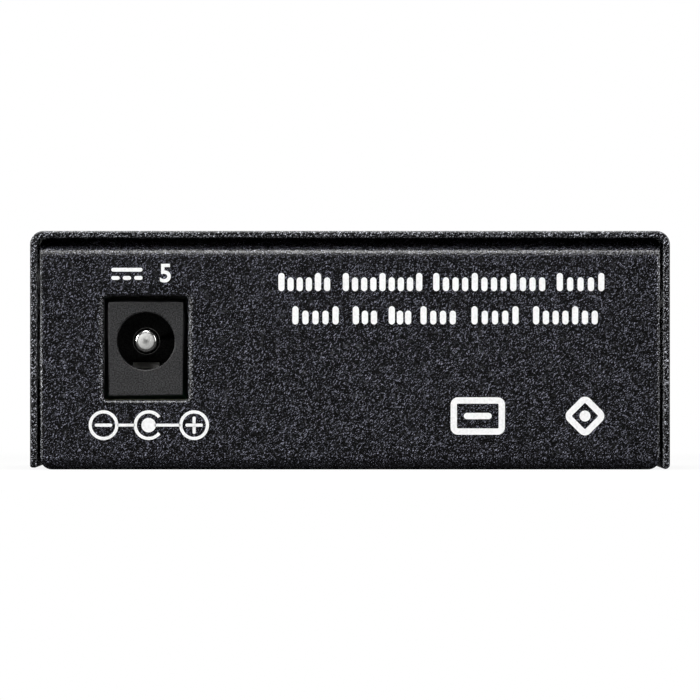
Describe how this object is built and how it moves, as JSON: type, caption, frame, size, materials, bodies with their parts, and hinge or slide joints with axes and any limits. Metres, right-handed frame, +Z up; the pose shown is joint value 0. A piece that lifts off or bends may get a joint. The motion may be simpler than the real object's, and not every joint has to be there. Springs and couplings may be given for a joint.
{
  "type": "fibre media converter",
  "caption": "Compact black sheet-steel box that converts copper networking to duplex fibre, with a barrel power socket in its rear panel.",
  "frame": {"origin": "centre of the underside, on the surface it stands on", "axes": "+Z up; -Y towards the power panel, +Y towards the network and fibre panel; +X to the right when the power panel is seen from the front"},
  "size_m": [0.07, 0.094, 0.0261],
  "materials": {
    "case_paint": "fine-textured black powder coat, low sheen",
    "black_screw": "black-finished steel",
    "plated_steel": "zinc-plated steel",
    "board_laminate": "green solder mask on glass-fibre laminate",
    "jack_plastic": "fine-grained black moulding",
    "bright_nickel": "bright nickel plate",
    "contact_metal": "tinned strip",
    "shield_steel": "nickel-plated sheet",
    "socket_plastic": "black moulding",
    "gold_contact": "gold flash",
    "optic_plastic": "black moulding",
    "sleeve_metal": "turned metal",
    "chip_epoxy": "moulded epoxy",
    "crystal_can": "drawn metal can",
    "ferrite": "sintered ferrite",
    "capacitor_sleeve": "shrunk sleeve on an aluminium can",
    "resistor_body": "fired ceramic chips",
    "holder_plastic": "black moulding",
    "lamp_lens": "tinted clear epoxy"
  },
  "bodies": {
    "root": {"base_tray": "case_paint", "board_screws": "plated_steel", "board_standoffs": "plated_steel", "capacitor_1": "capacitor_sleeve", "capacitor_2": "capacitor_sleeve", "capacitor_3": "capacitor_sleeve", "chip_resistors": "resistor_body", "circuit_board": "board_laminate", "converter_chip": "chip_epoxy", "cover_screws": "black_screw", "crystal": "crystal_can", "dc_jack_center_pin": "bright_nickel", "dc_jack_housing": "jack_plastic", "dc_jack_pin_terminal": "contact_metal", "dc_jack_sleeve_spring": "contact_metal", "dc_jack_switch_contact": "contact_metal", "lan_transformer": "chip_epoxy", "led_holder_1": "holder_plastic", "led_holder_2": "holder_plastic", "led_holder_3": "holder_plastic", "led_lower_1": "lamp_lens", "led_lower_2": "lamp_lens", "led_lower_3": "lamp_lens", "led_upper_1": "lamp_lens", "led_upper_2": "lamp_lens", "led_upper_3": "lamp_lens", "power_inductor": "ferrite", "receive_ferrule_sleeve": "sleeve_metal", "rj45_contact_1": "gold_contact", "rj45_contact_2": "gold_contact", "rj45_contact_3": "gold_contact", "rj45_contact_4": "gold_contact", "rj45_contact_5": "gold_contact", "rj45_contact_6": "gold_contact", "rj45_contact_7": "gold_contact", "rj45_contact_8": "gold_contact", "rj45_housing": "socket_plastic", "rj45_shield": "shield_steel", "top_cover": "case_paint", "transceiver_housing": "optic_plastic", "transceiver_pins": "contact_metal", "transmit_ferrule_sleeve": "sleeve_metal", "voltage_regulator": "chip_epoxy"}
  },
  "joints": []
}
